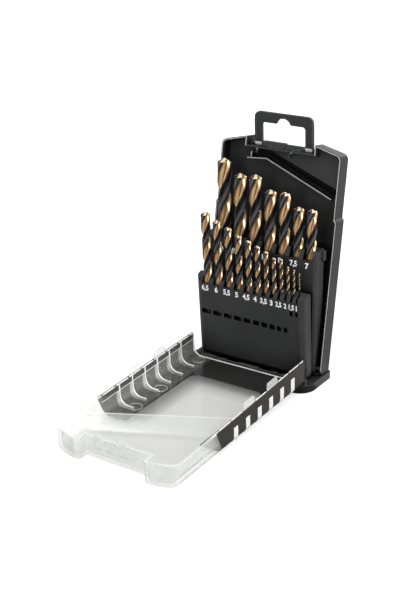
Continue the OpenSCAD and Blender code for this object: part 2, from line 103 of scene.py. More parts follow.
def loft(bm, rings, cap=True, closed=True, mat=0):
    """Joins rings of points (lists of 3-tuples) with quads."""
    vs = [[bm.verts.new(p) for p in r] for r in rings]
    n = len(rings[0])
    for a, b in zip(vs, vs[1:]):
        for i in range(n if closed else n - 1):
            j = (i + 1) % n
            bm.faces.new((a[i], a[j], b[j], b[i])).material_index = mat
    if cap and closed:
        bm.faces.new(vs[0][::-1]).material_index = mat
        bm.faces.new(vs[-1]).material_index = mat
    return vs


def prism(bm, pts, place, h0, h1, mat=0):
    """A flat outline pushed from h0 to h1; place(u, v, h) gives the point."""
    a = [bm.verts.new(place(u, v, h0)) for u, v in pts]
    b = [bm.verts.new(place(u, v, h1)) for u, v in pts]
    n = len(pts)
    for i in range(n):
        j = (i + 1) % n
        bm.faces.new((a[i], a[j], b[j], b[i])).material_index = mat
    bm.faces.new(a[::-1]).material_index = mat
    bm.faces.new(b).material_index = mat


def arc(cx, cy, r, a0, a1, n):
    return [(cx + r * math.cos(math.radians(a0 + (a1 - a0) * i / n)), cy + r * math.sin(math.radians(a0 + (a1 - a0) * i / n))) for i in range(n + 1)]


def even_shading(ob):
    wn = ob.modifiers.new("even_shading", "WEIGHTED_NORMAL")
    wn.mode = "FACE_AREA"
    wn.weight = 90
    wn.keep_sharp = True


def softened(node, name, body, mats, width=0.3, segments=2, angle=28, sharp=50, dissolve=0.6):
    """A copy of a CAD node with its corners rounded; the second material, lighter, goes on the rounded corners as a
    painted highlight.
    """
    bm = bmesh.new()
    bm.from_mesh(NODES[node].data)
    bmesh.ops.remove_doubles(bm, verts=bm.verts, dist=2e-6)
    if dissolve:
        bmesh.ops.dissolve_limit(bm, angle_limit=math.radians(dissolve), verts=bm.verts, edges=bm.edges)
    bmesh.ops.remove_doubles(bm, verts=bm.verts, dist=2e-6)
    bm.normal_update()
    for f in bm.faces:
        f.material_index = 0
    edges = [e for e in bm.edges if len(e.link_faces) == 2 and e.calc_face_angle(0) > math.radians(angle)]
    res = bmesh.ops.bevel(bm, geom=edges, offset=width * MM, offset_type="OFFSET", segments=segments, profile=0.5,
                          affect="EDGES", clamp_overlap=True, harden_normals=False, miter_outer="ARC", miter_inner="ARC")
    for f in res["faces"]:
        f.material_index = 1
    bmesh.ops.dissolve_degenerate(bm, edges=bm.edges, dist=1e-7)
    me = bpy.data.meshes.new(name)
    bm.to_mesh(me)
    bm.free()
    for m in mats:
        me.materials.append(m)
    mark_sharp(me, sharp)
    ob = bpy.data.objects.new(name, me)
    bpy.context.scene.collection.objects.link(ob)
    even_shading(ob)
    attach(ob, body)
    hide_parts(node)
    return ob


# ------------------------------------------------------------------ materials
def new_mat(name):
    m = bpy.data.materials.new(name)
    m.use_nodes = True
    nt = m.node_tree
    for n in list(nt.nodes):
        nt.nodes.remove(n)
    out = nt.nodes.new("ShaderNodeOutputMaterial")
    return m, nt, out


def N(nt, kind, **kw):
    n = nt.nodes.new(kind)
    for k, v in kw.items():
        setattr(n, k, v)
    return n


def coords(nt, scale=(1, 1, 1)):
    tc = N(nt, "ShaderNodeTexCoord")
    mp = N(nt, "ShaderNodeMapping")
    mp.inputs["Scale"].default_value = scale
    nt.links.new(tc.outputs["Object"], mp.inputs["Vector"])
    return mp.outputs["Vector"]


def noise_tex(nt, vec, scale, detail=3, rough=0.5):
    n = N(nt, "ShaderNodeTexNoise")
    n.inputs["Scale"].default_value = scale
    n.inputs["Detail"].default_value = detail
    n.inputs["Roughness"].default_value = rough
    nt.links.new(vec, n.inputs["Vector"])
    return n.outputs["Fac"]


def ramp(nt, fac, stops):
    r = N(nt, "ShaderNodeValToRGB")
    el = r.color_ramp.elements
    while len(el) < len(stops):
        el.new(0.5)
    for e, (p, c) in zip(el, stops):
        e.position = p
        e.color = (c, c, c, 1) if isinstance(c, (int, float)) else (*c, 1)
    nt.links.new(fac, r.inputs["Fac"])
    return r.outputs["Color"]


def maprange(nt, val, a, b, c, d):
    m = N(nt, "ShaderNodeMapRange")
    for k, v in zip(("From Min", "From Max", "To Min", "To Max"), (a, b, c, d)):
        m.inputs[k].default_value = v
    nt.links.new(val, m.inputs["Value"])
    return m.outputs["Result"]


def math_node(nt, op, a, b=None):
    m = N(nt, "ShaderNodeMath", operation=op)
    for i, v in enumerate((a, b)):
        if v is None:
            continue
        if isinstance(v, (int, float)):
            m.inputs[i].default_value = v
        else:
            nt.links.new(v, m.inputs[i])
    return m.outputs[0]


def step(nt, v, at, soft=0.02):
    return maprange(nt, v, at - soft, at + soft, 0.0, 1.0)


def blend(nt, a, b, fac):
    """a where fac is 0, b where it is 1, for plain numbers or sockets."""
    m = N(nt, "ShaderNodeMix", data_type="FLOAT")
    for key, v in (("A", a), ("B", b), ("Factor", fac)):
        if isinstance(v, (int, float)):
            m.inputs[key].default_value = v
        else:
            nt.links.new(v, m.inputs[key])
    return m.outputs["Result"]


def colours(nt, fac, a, b):
    m = N(nt, "ShaderNodeMix", data_type="RGBA")
    nt.links.new(fac, m.inputs["Factor"])
    for key, v in (("A", a), ("B", b)):
        if isinstance(v, tuple):
            m.inputs[key].default_value = (*v, 1)
        else:
            nt.links.new(v, m.inputs[key])
    return m.outputs["Result"]


def plastic(name, base, rough=0.42, grain=0.05, spec=0.45, grain_scale=2600, vary=0.14, crevice_shade=None):
    """Moulded plastic with a fine grain, uneven sheen and faint scuffs; optionally with painted shade in its crevices.
    """
    m, nt, out = new_mat(name)
    p = N(nt, "ShaderNodeBsdfPrincipled")
    vec = coords(nt)
    big = noise_tex(nt, vec, 38, 4, 0.6)
    fine = noise_tex(nt, vec, grain_scale, 2, 0.6)
    mid = noise_tex(nt, vec, 420, 3, 0.6)
    tone = colours(nt, maprange(nt, big, 0.3, 0.72, 0.0, 1.0), tuple(c * (1 - vary) for c in base), tuple(c * (1 + vary) for c in base))
    scuff = maprange(nt, math_node(nt, "MULTIPLY", noise_tex(nt, coords(nt, (1, 1, 6)), 260, 3, 0.7), fine), 0.30, 0.42, 0.0, 0.35)
    skin = colours(nt, scuff, tone, tuple(c * 1.7 for c in base))
    if crevice_shade:
        # painted shade: the plastic is darkened down in the crevices by an ambient occlusion term
        ao = N(nt, "ShaderNodeAmbientOcclusion", samples=8)
        ao.inputs["Distance"].default_value = crevice_shade[0]
        skin = colours(nt, maprange(nt, ao.outputs["AO"], crevice_shade[1], crevice_shade[2], 0.0, 1.0), tuple(c * 0.06 for c in base), skin)
    nt.links.new(skin, p.inputs["Base Color"])
    r = math_node(nt, "ADD", maprange(nt, mid, 0.25, 0.75, rough - 0.05, rough + 0.05), maprange(nt, fine, 0.3, 0.7, -0.02, 0.03))
    nt.links.new(r, p.inputs["Roughness"])
    p.inputs["Specular IOR Level"].default_value = spec
    bump = N(nt, "ShaderNodeBump")
    bump.inputs["Strength"].default_value = grain
    bump.inputs["Distance"].default_value = 0.0001
    nt.links.new(fine, bump.inputs["Height"])
    nt.links.new(bump.outputs["Normal"], p.inputs["Normal"])
    nt.links.new(p.outputs["BSDF"], out.inputs["Surface"])
    return m


M_SHELL = plastic("shell_black", (0.0330, 0.0335, 0.0345), rough=0.42, grain=0.25, spec=0.34, crevice_shade=(0.040, 0.40, 0.80))
# the corner plastics are lighter: painted highlights along the rounded edges
M_SHELL_EDGE_HIGHLIGHT = plastic("shell_corner_highlight", (0.075, 0.076, 0.079), rough=0.34, grain=0.10, spec=0.60)
M_HOLD = plastic("holder_black", (0.0290, 0.0293, 0.0303), rough=0.44, grain=0.22, spec=0.36, crevice_shade=(0.028, 0.40, 0.84))
M_HOLD_EDGE_HIGHLIGHT = plastic("holder_corner_highlight", (0.080, 0.080, 0.083), rough=0.36, grain=0.10, spec=0.55)
M_GRIP = plastic("grip_soft", (0.0330, 0.0290, 0.0255), rough=0.62, grain=0.6, spec=0.28, grain_scale=1700, vary=0.2)
M_GRIP_EDGE_HIGHLIGHT = plastic("grip_corner_highlight", (0.040, 0.036, 0.033), rough=0.5, grain=0.3, spec=0.4)
# painted shade: near-black plastic for the slot's shadowed bottom
M_SLOT_SHADE = plastic("slot_painted_shade", (0.0022, 0.0022, 0.0024), rough=0.7, grain=0.3, spec=0.1)
# painted highlight: light grey for the hanger's barrels
M_BARREL_HIGHLIGHT = plastic("barrel_painted_highlight", (0.46, 0.46, 0.465), rough=0.30, grain=0.05, spec=0.7)
M_CATCH = plastic("catch_black", (0.040, 0.0405, 0.042), rough=0.40, grain=0.2, spec=0.45)
M_CATCH_EDGE_HIGHLIGHT = plastic("catch_corner_highlight", (0.16, 0.16, 0.163), rough=0.34, grain=0.08, spec=0.6)
# painted highlight: light plastic for the line round the rim
M_RIM_HIGHLIGHT = plastic("rim_painted_highlight", (0.42, 0.42, 0.43), rough=0.36, grain=0.08, spec=0.6)
# painted highlight: light plastic for the tip stop's edge and the catch curls
M_TRIM_HIGHLIGHT = plastic("trim_painted_highlight", (0.30, 0.30, 0.305), rough=0.34, grain=0.05, spec=0.6)


def steel(name, base, rough, streak=(1, 1, 60)):
    m, nt, out = new_mat(name)
    p = N(nt, "ShaderNodeBsdfPrincipled")
    n1 = noise_tex(nt, coords(nt, streak), 300, 3, 0.6)
    nt.links.new(colours(nt, n1, tuple(c * 0.8 for c in base), tuple(min(1, c * 1.2) for c in base)), p.inputs["Base Color"])
    nt.links.new(maprange(nt, n1, 0.3, 0.7, rough - 0.06, rough + 0.08), p.inputs["Roughness"])
    p.inputs["Metallic"].default_value = 1.0
    nt.links.new(p.outputs["BSDF"], out.inputs["Surface"])
    return m


M_WIRE = steel("bright_wire", (0.72, 0.72, 0.73), 0.28, (60, 1, 1))
M_PIN = steel("dark_wire", (0.10, 0.10, 0.105), 0.42, (60, 1, 1))


def attribute(nt, name):
    a = N(nt, "ShaderNodeAttribute")
    a.attribute_name = name
    return a.outputs["Fac"]


def land_material():
    """Blackened, slightly oily steel with fine drawn marks, worn on its raised margins, with a painted highlight streak
    along each land.
    """
    m, nt, out = new_mat("bit_black")
    p = N(nt, "ShaderNodeBsdfPrincipled")
    a = noise_tex(nt, coords(nt, (1, 1, 0.35)), 900, 3, 0.65)
    b = noise_tex(nt, coords(nt), 160, 4, 0.6)
    dark = colours(nt, maprange(nt, b, 0.3, 0.7, 0.0, 1.0), (0.0024, 0.0024, 0.0030), (0.0052, 0.0051, 0.0056))
    # painted highlight: a light streak along the land, with wear on its margin and heel
    wear_and_highlight = math_node(nt, "MULTIPLY", attribute(nt, "tone"), maprange(nt, a, 0.35, 0.65, 0.6, 1.0))
    nt.links.new(colours(nt, wear_and_highlight, dark, (0.32, 0.315, 0.32)), p.inputs["Base Color"])
    nt.links.new(maprange(nt, a, 0.3, 0.7, 0.13, 0.20), p.inputs["Roughness"])
    p.inputs["Metallic"].default_value = 0.0
    p.inputs["Specular IOR Level"].default_value = 0.42
    bump = N(nt, "ShaderNodeBump")
    bump.inputs["Strength"].default_value = 0.10
    bump.inputs["Distance"].default_value = 0.00006
    nt.links.new(a, bump.inputs["Height"])
    nt.links.new(bump.outputs["Normal"], p.inputs["Normal"])
    nt.links.new(p.outputs["BSDF"], out.inputs["Surface"])
    return m


def flute_material(name, stops, rough, metal, use_tone=True):
    """Bronze ground steel with fine grinding lines; with use_tone, painted highlight and shade run from brown to pale
    gold across the flute.
    """
    m, nt, out = new_mat(name)
    p = N(nt, "ShaderNodeBsdfPrincipled")
    lines = noise_tex(nt, coords(nt, (1, 1, 0.10)), 1700, 3, 0.7)
    blot = noise_tex(nt, coords(nt), 240, 3, 0.6)
    var = math_node(nt, "ADD", maprange(nt, lines, 0.3, 0.7, -0.035, 0.035), maprange(nt, blot, 0.3, 0.7, -0.02, 0.02))
    tone = math_node(nt, "ADD", attribute(nt, "tone"), var) if use_tone else math_node(nt, "ADD", var, 0.6)
    nt.links.new(ramp(nt, tone, stops), p.inputs["Base Color"])
    nt.links.new(maprange(nt, lines, 0.3, 0.7, rough - 0.06, rough + 0.08), p.inputs["Roughness"])
    p.inputs["Metallic"].default_value = metal
    bump = N(nt, "ShaderNodeBump")
    bump.inputs["Strength"].default_value = 0.08
    bump.inputs["Distance"].default_value = 0.00004
    nt.links.new(lines, bump.inputs["Height"])
    nt.links.new(bump.outputs["Normal"], p.inputs["Normal"])
    nt.links.new(p.outputs["BSDF"], out.inputs["Surface"])
    return m


M_LAND = land_material()
M_FLUTE = flute_material("bit_bronze", [(0.0, (0.035, 0.017, 0.006)), (0.3, (0.22, 0.115, 0.045)), (0.55, (0.47, 0.265, 0.110)), (0.8, (0.76, 0.52, 0.27)), (1.0, (0.94, 0.77, 0.52))], 0.20, 0.45)
M_POINT = flute_material("bit_point", [(0.0, (0.30, 0.19, 0.09)), (0.5, (0.66, 0.52, 0.33)), (1.0, (0.86, 0.76, 0.58))], 0.34, 0.35, use_tone=False)


def paint():
    m, nt, out = new_mat("white_print")
    p = N(nt, "ShaderNodeBsdfPrincipled")
    n = noise_tex(nt, coords(nt), 1800, 2, 0.6)
    nt.links.new(ramp(nt, n, [(0.25, 0.72), (0.6, 0.95)]), p.inputs["Base Color"])
    nt.links.new(maprange(nt, n, 0.3, 0.7, 0.45, 0.6), p.inputs["Roughness"])
    nt.links.new(p.outputs["BSDF"], out.inputs["Surface"])
    return m


M_PRINT = paint()

PANE_Y, PANE_SLOPE, PANE_TOP = -122.4, 0.476, 12.4
RIB_Y = [-19.1 - 14.1 * i for i in range(6)]


def lid_place(nt):
    """The lid's own millimetres: across, away from the hinge, above the hinge."""
    tc = N(nt, "ShaderNodeTexCoord")
    mp = N(nt, "ShaderNodeMapping")
    inv = LID.inverted()
    mp.inputs["Scale"].default_value = (1000, 1000, 1000)
    mp.inputs["Rotation"].default_value = (math.radians(-LID_TILT), 0, 0)
    mp.inputs["Location"].default_value = inv.translation
    nt.links.new(tc.outputs["Object"], mp.inputs["Vector"])
    sx = N(nt, "ShaderNodeSeparateXYZ")
    nt.links.new(mp.outputs["Vector"], sx.inputs[0])
    sn = N(nt, "ShaderNodeSeparateXYZ")
    nt.links.new(tc.outputs["Normal"], sn.inputs[0])
    return mp.outputs["Vector"], sx.outputs[0], sx.outputs[1], sx.outputs[2], math_node(nt, "ABSOLUTE", sn.outputs[2])


def stretch(nt, vec, scale):
    mp = N(nt, "ShaderNodeMapping")
    mp.inputs["Scale"].default_value = scale
    nt.links.new(vec, mp.inputs["Vector"])
    return mp.outputs["Vector"]


def clear_shader(nt, out, milk, tint, white, rough, fine, white_rough=0.5):
    """See-through plastic, milky by the amount in milk, with a glossy skin on both sides."""
    tr = N(nt, "ShaderNodeBsdfTransparent")
    if isinstance(tint, tuple):
        tr.inputs["Color"].default_value = (*tint, 1)
    else:
        nt.links.new(tint, tr.inputs["Color"])
    p = N(nt, "ShaderNodeBsdfPrincipled")
    nt.links.new(white, p.inputs["Base Color"])
    p.inputs["Roughness"].default_value = white_rough
    p.inputs["Specular IOR Level"].default_value = 0.2
    m1 = N(nt, "ShaderNodeMixShader")
    nt.links.new(milk, m1.inputs["Fac"])
    nt.links.new(tr.outputs["BSDF"], m1.inputs[1])
    nt.links.new(p.outputs["BSDF"], m1.inputs[2])
    gl = N(nt, "ShaderNodeBsdfGlossy")
    gl.inputs["Color"].default_value = (1, 1, 1, 1)
    nt.links.new(maprange(nt, fine, 0.3, 0.7, rough * 0.8, rough * 1.25), gl.inputs["Roughness"])
    lw = N(nt, "ShaderNodeLayerWeight")
    lw.inputs["Blend"].default_value = 0.5
    shine = maprange(nt, math_node(nt, "POWER", lw.outputs["Facing"], 5.0), 0.0, 1.0, 0.035, 0.9)
    m2 = N(nt, "ShaderNodeMixShader")
    nt.links.new(shine, m2.inputs["Fac"])
    nt.links.new(m1.outputs["Shader"], m2.inputs[1])
    nt.links.new(gl.outputs["BSDF"], m2.inputs[2])
    nt.links.new(m2.outputs["Shader"], out.inputs["Surface"])


def lid_material():
    """Clear moulded plastic; its frosting differs from place to place, as moulded, with a painted highlight along the
    rim and a painted shadow in the floor's tint.
    """
    m, nt, out = new_mat("lid_clear")
    vec, x, y, z, nz = lid_place(nt)
    cloud = noise_tex(nt, stretch(nt, vec, (0.05, 0.05, 0.05)), 1.0, 4, 0.6)
    drag = noise_tex(nt, stretch(nt, vec, (2.6, 1.9, 0.10)), 1.0, 3, 0.65)
    drawn = noise_tex(nt, stretch(nt, vec, (2.2, 0.09, 2.2)), 1.0, 3, 0.65)
    fine = noise_tex(nt, stretch(nt, vec, (4, 4, 4)), 1.0, 2, 0.5)
    away = math_node(nt, "MULTIPLY", y, -1.0)
    wall = math_node(nt, "SUBTRACT", 1.0, maprange(nt, nz, 0.35, 0.85, 0.0, 1.0))
    side = step(nt, math_node(nt, "ABSOLUTE", x), 28.6, 0.5)
    far = maprange(nt, away, 104.0, 121.0, 0.0, 1.0)
    band = step(nt, z, LID_RIM - 4.5, 0.06)
    above = step(nt, z, LID_RIM + 0.1, 0.05)
    streak = blend(nt, maprange(nt, drawn, 0.3, 0.7, 0.45, 1.6), maprange(nt, drag, 0.3, 0.7, 0.45, 1.6), wall)
    near = blend(nt, blend(nt, 0.016, 0.060, side), 0.085, wall)
    near = math_node(nt, "MULTIPLY", near, streak)
    near = blend(nt, near, 0.03, math_node(nt, "MULTIPLY", band, wall))
    distant = blend(nt, 0.06, 0.27, wall)
    milk = blend(nt, near, math_node(nt, "MULTIPLY", distant, maprange(nt, cloud, 0.3, 0.7, 0.8, 1.2)), far)
    # the pane
    line = math_node(nt, "ADD", math_node(nt, "MULTIPLY", x, PANE_SLOPE), PANE_Y + PANE_SLOPE * 43.4)
    off = math_node(nt, "ABSOLUTE", math_node(nt, "SUBTRACT", y, line))
    inside = math_node(nt, "SUBTRACT", 1.0, step(nt, math_node(nt, "ABSOLUTE", x), 43.2, 0.05))
    close = math_node(nt, "MULTIPLY", inside, math_node(nt, "SUBTRACT", 1.0, step(nt, off, 6.0, 0.1)))
    low = math_node(nt, "SUBTRACT", 1.0, step(nt, z, PANE_TOP + 0.1, 0.05))
    close = math_node(nt, "MULTIPLY", close, low)
    milk = blend(nt, milk, 0.14, math_node(nt, "MULTIPLY", close, wall))
    milk = blend(nt, milk, 0.40, math_node(nt, "MULTIPLY", math_node(nt, "MULTIPLY", close, step(nt, z, PANE_TOP - 0.35, 0.05)), maprange(nt, nz, 0.5, 0.9, 0.0, 1.0)))
    # the rim, whitened as a painted highlight, with small breaks at the ribs, and what stands above it
    gap = math_node(nt, "PINGPONG", math_node(nt, "ADD", y, 22.6), 7.05)
    gap = math_node(nt, "MAXIMUM", step(nt, gap, 0.7, 0.12), far)
    lid_rim_highlight = math_node(nt, "MULTIPLY", math_node(nt, "MULTIPLY", step(nt, z, LID_RIM - 0.5, 0.05), gap), blend(nt, 0.80, 0.34, far))
    milk = math_node(nt, "MAXIMUM", milk, lid_rim_highlight)
    milk = blend(nt, milk, 0.34, above)
    white = colours(nt, cloud, (0.86, 0.87, 0.86), (0.94, 0.95, 0.935))
    # the plastic is smokier in the floor; near the foot and along the left grip it is darker still, a painted shadow
    floor_shadow_tint = maprange(nt, away, 29.0, 39.0, 0.52, 1.0)
    left = maprange(nt, math_node(nt, "MULTIPLY", x, -1.0), 13.0, 25.0, 0.0, 1.0)
    left = math_node(nt, "MULTIPLY", left, maprange(nt, away, 92.0, 108.0, 1.0, 0.0))
    left = math_node(nt, "MULTIPLY", left, maprange(nt, away, 24.0, 36.0, 0.0, 1.0))
    floor_shadow_tint = math_node(nt, "MULTIPLY", floor_shadow_tint, maprange(nt, left, 0.0, 1.0, 1.0, 0.66))
    clear = blend(nt, math_node(nt, "MULTIPLY", floor_shadow_tint, 0.865), 0.965, wall)
    tint = colours(nt, clear, (0.0, 0.0, 0.0), (0.997, 1.0, 0.994))
    clear_shader(nt, out, milk, tint, white, 0.07, fine)
    return m


def frost_material(name, milk_lo, milk_hi, white_lo, white_hi):
    m, nt, out = new_mat(name)
    vec = coords(nt)
    cloud = noise_tex(nt, vec, 320, 3, 0.6)
    fine = noise_tex(nt, vec, 2400, 2, 0.5)
    milk = maprange(nt, cloud, 0.3, 0.7, milk_lo, milk_hi)
    white = colours(nt, fine, white_lo, white_hi)
    clear_shader(nt, out, milk, (0.94, 0.95, 0.94), white, 0.12, fine)
    return m


M_LID = lid_material()
# whiter frost on the lid's rounded corners: a painted highlight
M_LIP_HIGHLIGHT = frost_material("lid_corner_highlight", 0.20, 0.32, (0.86, 0.87, 0.86), (0.94, 0.95, 0.94))
M_RIB = frost_material("rib_frost", 0.72, 0.88, (0.80, 0.80, 0.79), (0.92, 0.92, 0.91))
M_LINE = frost_material("rib_line", 0.72, 0.86, (0.88, 0.88, 0.87), (0.97, 0.97, 0.96))
# painted highlight: white frost for the hinge end lip
M_LIPBAR_HIGHLIGHT = frost_material("hinge_lip_highlight", 0.80, 0.95, (0.66, 0.67, 0.66), (0.80, 0.81, 0.80))
M_FAINT = frost_material("faint_mark", 0.22, 0.34, (0.82, 0.82, 0.81), (0.92, 0.92, 0.91))
M_SEAM = frost_material("rib_seam", 0.30, 0.42, (0.30, 0.30, 0.30), (0.42, 0.42, 0.42))


# ------------------------------------------------------------------ bits
REAR_BITS = [(10, 133, 87, 13.4), (9.5, 125, 81, 12.6), (9, 125, 81, 13.4), (8.5, 117, 75, 12.8), (8, 117, 75, 12.8), (7.5, 109, 69, 12.4), (7, 109, 69, 12.4)]
FRONT_BITS = [(6.5, 101, 63, 12.4), (6, 93, 57, 16), (5.5, 93, 57, 12.4), (5, 86, 52, 15.2), (4.5, 80, 47, 18.9), (4, 75, 43, 21.3), (3.5, 70, 39, 23.7),
              (3, 61, 33, 29.2), (2.5, 57, 30, 33.4), (2, 49, 24, 36.9), (1.5, 40, 18, 44.6), (1, 34, 12, 48.6)]
GAP = 2.74


def xs(bits, x0):
    out, x = [], x0
    for i, b in enumerate(bits):
        if i:
            x += (bits[i - 1][0] + b[0]) / 2 + GAP
        out.append(x)
    return out


REAR_X, FRONT_X = xs(REAR_BITS, -31.5), xs(FRONT_BITS, -34.4)
# where the first bronze flute faces the camera, below the tip, in millimetres
FIRST = {10: 7, 9.5: 9.5, 9: 8.8, 8.5: 9.5, 8: 11, 7.5: 8, 7: 8.8, 6.5: 6.5, 6: 5.5, 5.5: 6.8, 5: 6, 4.5: 6.4, 4: 5.5, 3.5: 4.6, 3: 4, 2.5: 3.4, 2: 2.7, 1.5: 2, 1: 1.4}

# half of the section, in order of turning: the land with its raised margin, the lip face, the flute, the heel
LAND = [(0, 0.930), (5, 0.948), (13, 0.960), (24, 0.963), (36, 0.963), (48, 0.963), (60, 0.963), (72, 0.963), (84, 0.963), (90, 0.963), (92, 0.998), (97, 1.0), (102, 1.0)]
FLUTE = [(103.5, 0.955), (106, 0.86), (109, 0.74), (113, 0.62), (118, 0.51), (124, 0.42), (131, 0.36), (138, 0.335), (146, 0.345), (153, 0.39), (159, 0.47), (165, 0.58), (170, 0.70), (174.5, 0.81), (178, 0.89)]
HALF = LAND + FLUTE


def shade_sheen_and_wear_of(half):
    """Painted highlight and shade across the ground flute, and on the land a painted highlight streak and wear of its
    margin and heel.
    """
    if half <= 102:
        pts = [(0, 0.30), (5, 0.05), (12, 0.0), (40, 0.0), (54, 0.14), (66, 0.42), (74, 0.30), (84, 0.03), (94, 0.0), (98, 0.16), (102, 0.10)]
    else:
        pts = [(103, 0.25), (107, 0.55), (113, 0.90), (122, 0.86), (129, 0.66), (138, 0.52), (146, 0.34), (152, 0.12), (157, 0.14), (162, 0.62), (168, 0.98), (173, 0.95), (176, 0.55), (178, 0.15)]
    for (a, u), (b, v) in zip(pts, pts[1:]):
        if a <= half <= b:
            return u + (v - u) * (half - a) / (b - a)
    return pts[-1][1]


SECTION = [(a + 180 * k, r, 0 if i < len(LAND) - 1 else 1) for k in (0, 1) for i, (a, r) in enumerate(HALF)]


def drill(name, spec, x, frame_m, pivot_z, axis_u, body):
    d, length, flute, base = spec
    r = d / 2
    pitch = 6.0 * d
    tip_h = 0.40 * r
    z_top = length                       # above the pocket's floor
    body_z = length - flute
    # the flute's middle faces the camera at z_top - FIRST
    want = -56.5
    mid = 139.0
    zc = z_top - FIRST[d]
    turn0 = want - mid
    bm = bmesh.new()
    # the tone layer carries painted highlight and shade across the flutes, and the lands' highlight streak and wear
    tone = bm.verts.layers.float.new("tone")

    def ring(z, depth, rr=1.0):
        t = turn0 + 360 * (z - zc) / pitch
        pts = []
        for a, q, _ in SECTION:
            qq = 1 + (q - 1) * depth
            th = math.radians(a + t)
            pts.append((r * rr * qq * math.cos(th), r * rr * qq * math.sin(th), z))
        return pts

    zs = []
    run = 1.1 * d
    z = body_z - run * 0.4
    n_run = 9
    rings = []
    # shank, with its chamfer
    rings.append(ring(0, 0.0, 0.86))
    rings.append(ring(0.07 * d, 0.0, 0.985))
    rings.append(ring(body_z - run * 0.4 - 0.05, 0.0, 0.985))
    for i in range(n_run):
        f = i / n_run
        rings.append(ring(body_z - run * 0.4 + run * f, f * f * (3 - 2 * f), 0.985 + 0.01 * f))
    z0 = body_z - run * 0.4 + run
    z1 = z_top - tip_h - 0.16 * r
    step = pitch / 40 if d > 2.2 else pitch / 26
    n = max(8, int((z1 - z0) / step))
    for i in range(n + 1):
        rings.append(ring(z0 + (z1 - z0) * i / n, 1.0, 0.995))
    vs = [[bm.verts.new(p) for p in rg] for rg in rings]
    m = len(SECTION)
    for k, rg in enumerate(vs):
        for v, (a, q, _) in zip(rg, SECTION):
            v[tone] = shade_sheen_and_wear_of(a % 180) if k > 6 else 0.0
    for k, (a, b) in enumerate(zip(vs, vs[1:])):
        for i in range(m):
            j = (i + 1) % m
            f = bm.faces.new((a[i], a[j], b[j], b[i]))
            f.material_index = SECTION[i][2] if k >= 3 + 3 else 0
    bm.faces.new(vs[0][::-1]).material_index = 0
    # the ground point: two flanks falling away behind the lips
    tt = turn0 + 360 * (z_top - tip_h - zc) / pitch
    last = vs[-1]
    steps = (1.0, 0.8, 0.6, 0.4, 0.22, 0.1)
    for s_i, fr in enumerate(steps):
        cur = []
        for i, (a, q, _) in enumerate(SECTION):
            rho = q * fr
            half = a % 180
            back = (102 - half) / 102 if half <= 102 else (half - 102) / 78
            zz = z_top - tip_h * rho - back * rho * r * 0.16
            th = math.radians(a + tt)
            cur.append(bm.verts.new((r * rho * math.cos(th), r * rho * math.sin(th), zz)))
        for v, (a, q, _) in zip(cur, SECTION):
            v[tone] = shade_sheen_and_wear_of(a % 180)
        for i in range(m):
            j = (i + 1) % m
            half = SECTION[i][0] % 180
            f = bm.faces.new((last[i], last[j], cur[j], cur[i]))
            if s_i == 0:
                f.material_index = SECTION[i][2]
            elif half < 58 and s_i < 5:
                f.material_index = 0
            else:
                f.material_index = 2
        last = cur
    top = bm.verts.new((0, 0, z_top))
    for i in range(m):
        j = (i + 1) % m
        bm.faces.new((last[i], last[j], top)).material_index = 2
    place = frame_m @ Matrix.Translation((x, axis_u, base - pivot_z))
    return make(name + "_steel", bm, body, [M_LAND, M_FLUTE, M_POINT], place, sharp=38, replaces=(name,))


def node_name(d):
    return "bit_%03d" % round(d * 10)


for spec, x in zip(REAR_BITS, REAR_X):
    drill(node_name(spec[0]), spec, x, REAR, 8.5, -6.2 + 6.4, node_name(spec[0]))
for spec, x in zip(FRONT_BITS, FRONT_X):
    drill(node_name(spec[0]), spec, x, FRONT, 12.3, -5.4 + 4.7, node_name(spec[0]))


# ------------------------------------------------------------------ numerals
def numeral(name, text, body, frame_m, x, y, z, height, narrow=1.0):
    cu = bpy.data.curves.new(name, "FONT")
    cu.body = text
    cu.align_x = "CENTER"
    cu.align_y = "CENTER"
    cu.size = height * 1.38
    cu.extrude = 0.03
    cu.offset = height * 0.046
    cu.space_character = 1.0
    cu.resolution_u = 3
    tmp = bpy.data.objects.new(name + "_tmp", cu)
    bpy.context.scene.collection.objects.link(tmp)
    bpy.context.view_layer.update()
    me = bpy.data.meshes.new_from_object(tmp)
    bpy.data.objects.remove(tmp)
    bpy.data.curves.remove(cu)
    me.name = name
    place = frame_m @ Matrix.Translation((x, y, z)) @ Matrix.Rotation(math.radians(90), 4, "X") @ Matrix.Diagonal(((0.95 if len(text) < 3 else 0.86) * narrow, 1.0, 1.0, 1.0))
    me.transform(Matrix.Scale(MM, 4) @ place)
    me.materials.clear()
    me.materials.append(M_PRINT)
    ob = bpy.data.objects.new(name, me)
    bpy.context.scene.collection.objects.link(ob)
    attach(ob, body)
    return ob


def label(d):
    return ("%g" % d).replace(".", ",")


for spec, x in zip(FRONT_BITS, FRONT_X):
    # the face's own frame: z along the holder from its pivot
    numeral("numeral_" + node_name(spec[0])[4:], label(spec[0]), "front_tier", FRONT, x, -5.4 - 0.02, (58.9 - 12.3) / math.cos(math.radians(5.4)), 3.85 if spec[0] > 2.5 else 3.6, 1.0 if spec[0] > 2.5 else 0.88)
for spec, x in zip(REAR_BITS, REAR_X):
    numeral("numeral_" + node_name(spec[0])[4:], label(spec[0]), "rear_tier", REAR, x, -6.2 - 0.02, 83.8 - 8.5, 3.9)


